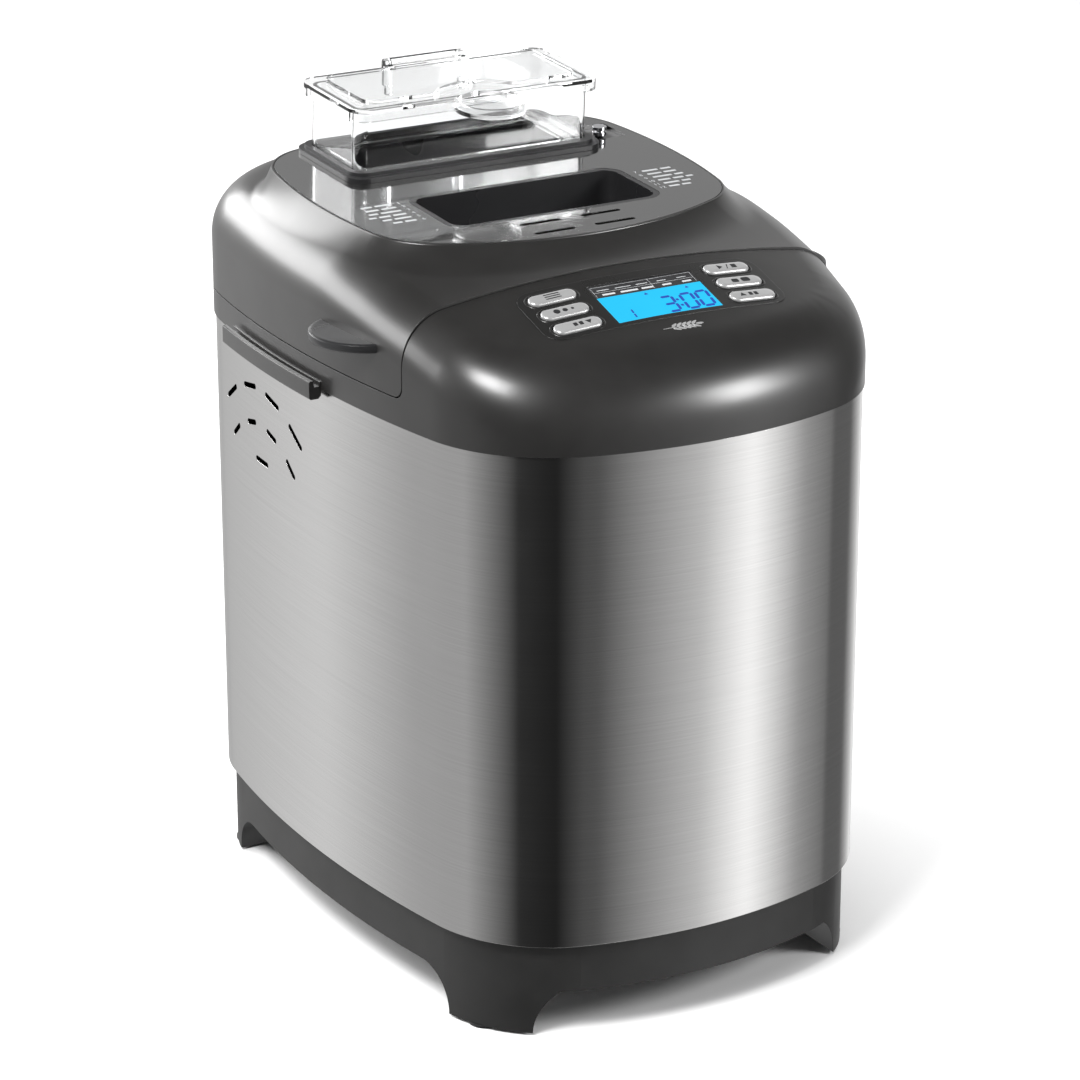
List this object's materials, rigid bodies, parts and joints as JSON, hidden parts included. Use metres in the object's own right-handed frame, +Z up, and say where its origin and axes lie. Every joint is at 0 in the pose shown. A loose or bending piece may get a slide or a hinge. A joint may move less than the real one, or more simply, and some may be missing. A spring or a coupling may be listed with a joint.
{
  "type": "bread machine",
  "caption": "Free-standing bread machine: steel-wrapped body, hinged windowed lid with a clear ingredient dispenser, keypad and display, lift-out pan with a belt-driven paddle.",
  "frame": {"origin": "on the resting plane, under the middle of the body", "axes": "+Z up; the controls face -Y; +X is to the right as seen from the front"},
  "size_m": [0.2834, 0.3526, 0.4182],
  "materials": {
    "charcoal_moulding": "fine satin, dark charcoal moulding",
    "housing_gloss": "dark charcoal metallic, satin gloss",
    "wrap_steel": "horizontally brushed stainless sheet",
    "pressed_steel": "plain zinc-plated sheet",
    "oven_aluminised": "aluminised sheet, dull grey",
    "element_steel": "heater tube, darkened by heat",
    "screw_steel": "bright turned steel",
    "handle_wire": "plated wire",
    "motor_steel": "laminations and can, grey",
    "cast_alloy": "as-cast alloy",
    "bush_bronze": "sintered bronze",
    "pulley_nylon": "natural nylon",
    "belt_rubber": "ribbed belt",
    "pad_rubber": "soft black rubber",
    "seal_silicone": "grey silicone",
    "component_black": "black component moulding",
    "inner_plastic": "plain black moulding",
    "board_green": "lacquered circuit board",
    "display_blue": "lit liquid crystal display behind a clear cover",
    "island_gloss": "glossy black printed film",
    "key_silver": "silver-painted keycap",
    "smoked_panel": "smoked glossy panel",
    "window_glass": "toughened clear glass",
    "clear_plastic": "clear moulded plastic",
    "pan_nonstick": "non-stick coating on aluminium",
    "flap_steel": "stainless flap",
    "catch_chrome": "plated catch"
  },
  "bodies": {
    "housing": {"base_housing": "charcoal_moulding", "foot_pads": "pad_rubber", "bottom_cover": "inner_plastic", "base_screws": "screw_steel", "steel_wrap": "wrap_steel", "upper_housing": "housing_gloss", "carry_handles": "charcoal_moulding", "chassis_plate": "pressed_steel", "oven_standoffs": "pressed_steel", "baking_chamber": "oven_aluminised", "heating_element": "element_steel", "element_clips": "pressed_steel", "pan_socket": "pressed_steel", "temperature_sensor": "screw_steel", "thermal_fuse": "component_black", "heat_shield": "oven_aluminised", "drive_bush": "bush_bronze", "motor_body": "motor_steel", "motor_capacitor": "component_black", "power_board": "board_green", "control_board": "board_green", "key_switches": "component_black", "display_module": "component_black", "display_window": "display_blue", "panel_overlay": "island_gloss", "cord_gland": "component_black", "drive_belt": "belt_rubber", "hinge_pins": "screw_steel"},
    "drive": {"drive_shaft": "screw_steel", "large_pulley": "pulley_nylon", "lower_coupler": "cast_alloy"},
    "rotor": {"motor_shaft": "screw_steel", "small_pulley": "pulley_nylon"},
    "pan": {"bread_pan": "pan_nonstick", "pan_base": "cast_alloy", "pan_bearing": "bush_bronze"},
    "paddle": {"paddle_shaft": "screw_steel", "upper_coupler": "cast_alloy", "kneading_paddle": "pan_nonstick"},
    "pan_bail": {"pan_handle": "handle_wire"},
    "lid": {"lid_shell": "housing_gloss", "lid_top_panel": "smoked_panel", "window_frame": "inner_plastic", "window_glass": "window_glass", "lid_liner": "oven_aluminised", "lid_seal": "seal_silicone", "dispenser_gasket": "pad_rubber", "dispenser_chute": "inner_plastic", "flap_solenoid": "motor_steel"},
    "flap": {"dispenser_flap": "flap_steel"},
    "dispenser": {"dispenser_box": "clear_plastic"},
    "dispenser_cap": {"dispenser_lid": "clear_plastic"},
    "catch": {"dispenser_catch": "catch_chrome"},
    "key_left_upper": {"button_left_upper": "key_silver"},
    "key_left_middle": {"button_left_middle": "key_silver"},
    "key_left_lower": {"button_left_lower": "key_silver"},
    "key_right_upper": {"button_right_upper": "key_silver"},
    "key_right_middle": {"button_right_middle": "key_silver"},
    "key_right_lower": {"button_right_lower": "key_silver"}
  },
  "joints": [
    {"name": "lid_hinge", "type": "hinge", "parent": "housing", "child": "lid", "pos_m": [0, 0.1715, 0.315], "axis": [-1, 0, 0], "range_deg": [0, 80]},
    {"name": "dispenser_lift", "type": "slide", "parent": "lid", "child": "dispenser", "axis": [0, -0.0628, 0.998], "range_m": [0, 0.05]},
    {"name": "cap_hinge", "type": "hinge", "parent": "dispenser", "child": "dispenser_cap", "pos_m": [0, 0.10733, 0.41563], "axis": [-1, 0, 0], "range_deg": [0, 110]},
    {"name": "flap_hinge", "type": "hinge", "parent": "lid", "child": "flap", "pos_m": [0, 0.098, 0.3356], "axis": [1, 0, 0], "range_deg": [0, 80], "stiffness_Nm_per_rad": 0.01, "springref_deg": -34.38},
    {"name": "catch_press", "type": "slide", "parent": "lid", "child": "catch", "axis": [0, 0.0628, -0.998], "range_m": [0, 0.003], "stiffness_N_per_m": 400, "springref_m": -0.001},
    {"name": "pan_lift", "type": "slide", "parent": "housing", "child": "pan", "axis": [0, 0, 1], "range_m": [0, 0.06]},
    {"name": "bail_hinge", "type": "hinge", "parent": "pan", "child": "pan_bail", "pos_m": [0, 0.03, 0.26], "axis": [-1, 0, 0], "range_deg": [0, 180]},
    {"name": "drive_spin", "type": "hinge", "parent": "housing", "child": "drive", "pos_m": [0, 0.03, 0.04], "axis": [0, 0, 1], "continuous": true},
    {"name": "paddle_spin", "type": "hinge", "parent": "pan", "child": "paddle", "pos_m": [0, 0.03, 0.1], "axis": [0, 0, 1], "continuous": true},
    {"name": "motor_spin", "type": "hinge", "parent": "housing", "child": "rotor", "pos_m": [0.046, -0.122, 0.04], "axis": [0, 0, 1], "continuous": true},
    {"name": "key_left_upper", "type": "slide", "parent": "housing", "child": "key_left_upper", "axis": [0.0686, 0.2983, -0.952], "range_m": [0, 0.0008], "stiffness_N_per_m": 900, "springref_m": -0.0005},
    {"name": "key_left_middle", "type": "slide", "parent": "housing", "child": "key_left_middle", "axis": [0.0686, 0.2983, -0.952], "range_m": [0, 0.0008], "stiffness_N_per_m": 900, "springref_m": -0.0005},
    {"name": "key_left_lower", "type": "slide", "parent": "housing", "child": "key_left_lower", "axis": [0.0686, 0.2983, -0.952], "range_m": [0, 0.0008], "stiffness_N_per_m": 900, "springref_m": -0.0005},
    {"name": "key_right_upper", "type": "slide", "parent": "housing", "child": "key_right_upper", "axis": [-0.0686, 0.2983, -0.952], "range_m": [0, 0.0008], "stiffness_N_per_m": 900, "springref_m": -0.0005},
    {"name": "key_right_middle", "type": "slide", "parent": "housing", "child": "key_right_middle", "axis": [-0.0686, 0.2983, -0.952], "range_m": [0, 0.0008], "stiffness_N_per_m": 900, "springref_m": -0.0005},
    {"name": "key_right_lower", "type": "slide", "parent": "housing", "child": "key_right_lower", "axis": [-0.0686, 0.2983, -0.952], "range_m": [0, 0.0008], "stiffness_N_per_m": 900, "springref_m": -0.0005}
  ],
  "couplings": [
    {"joint": "paddle_spin", "follows": "drive_spin", "ratio": 1},
    {"joint": "motor_spin", "follows": "drive_spin", "ratio": 5.5556}
  ]
}
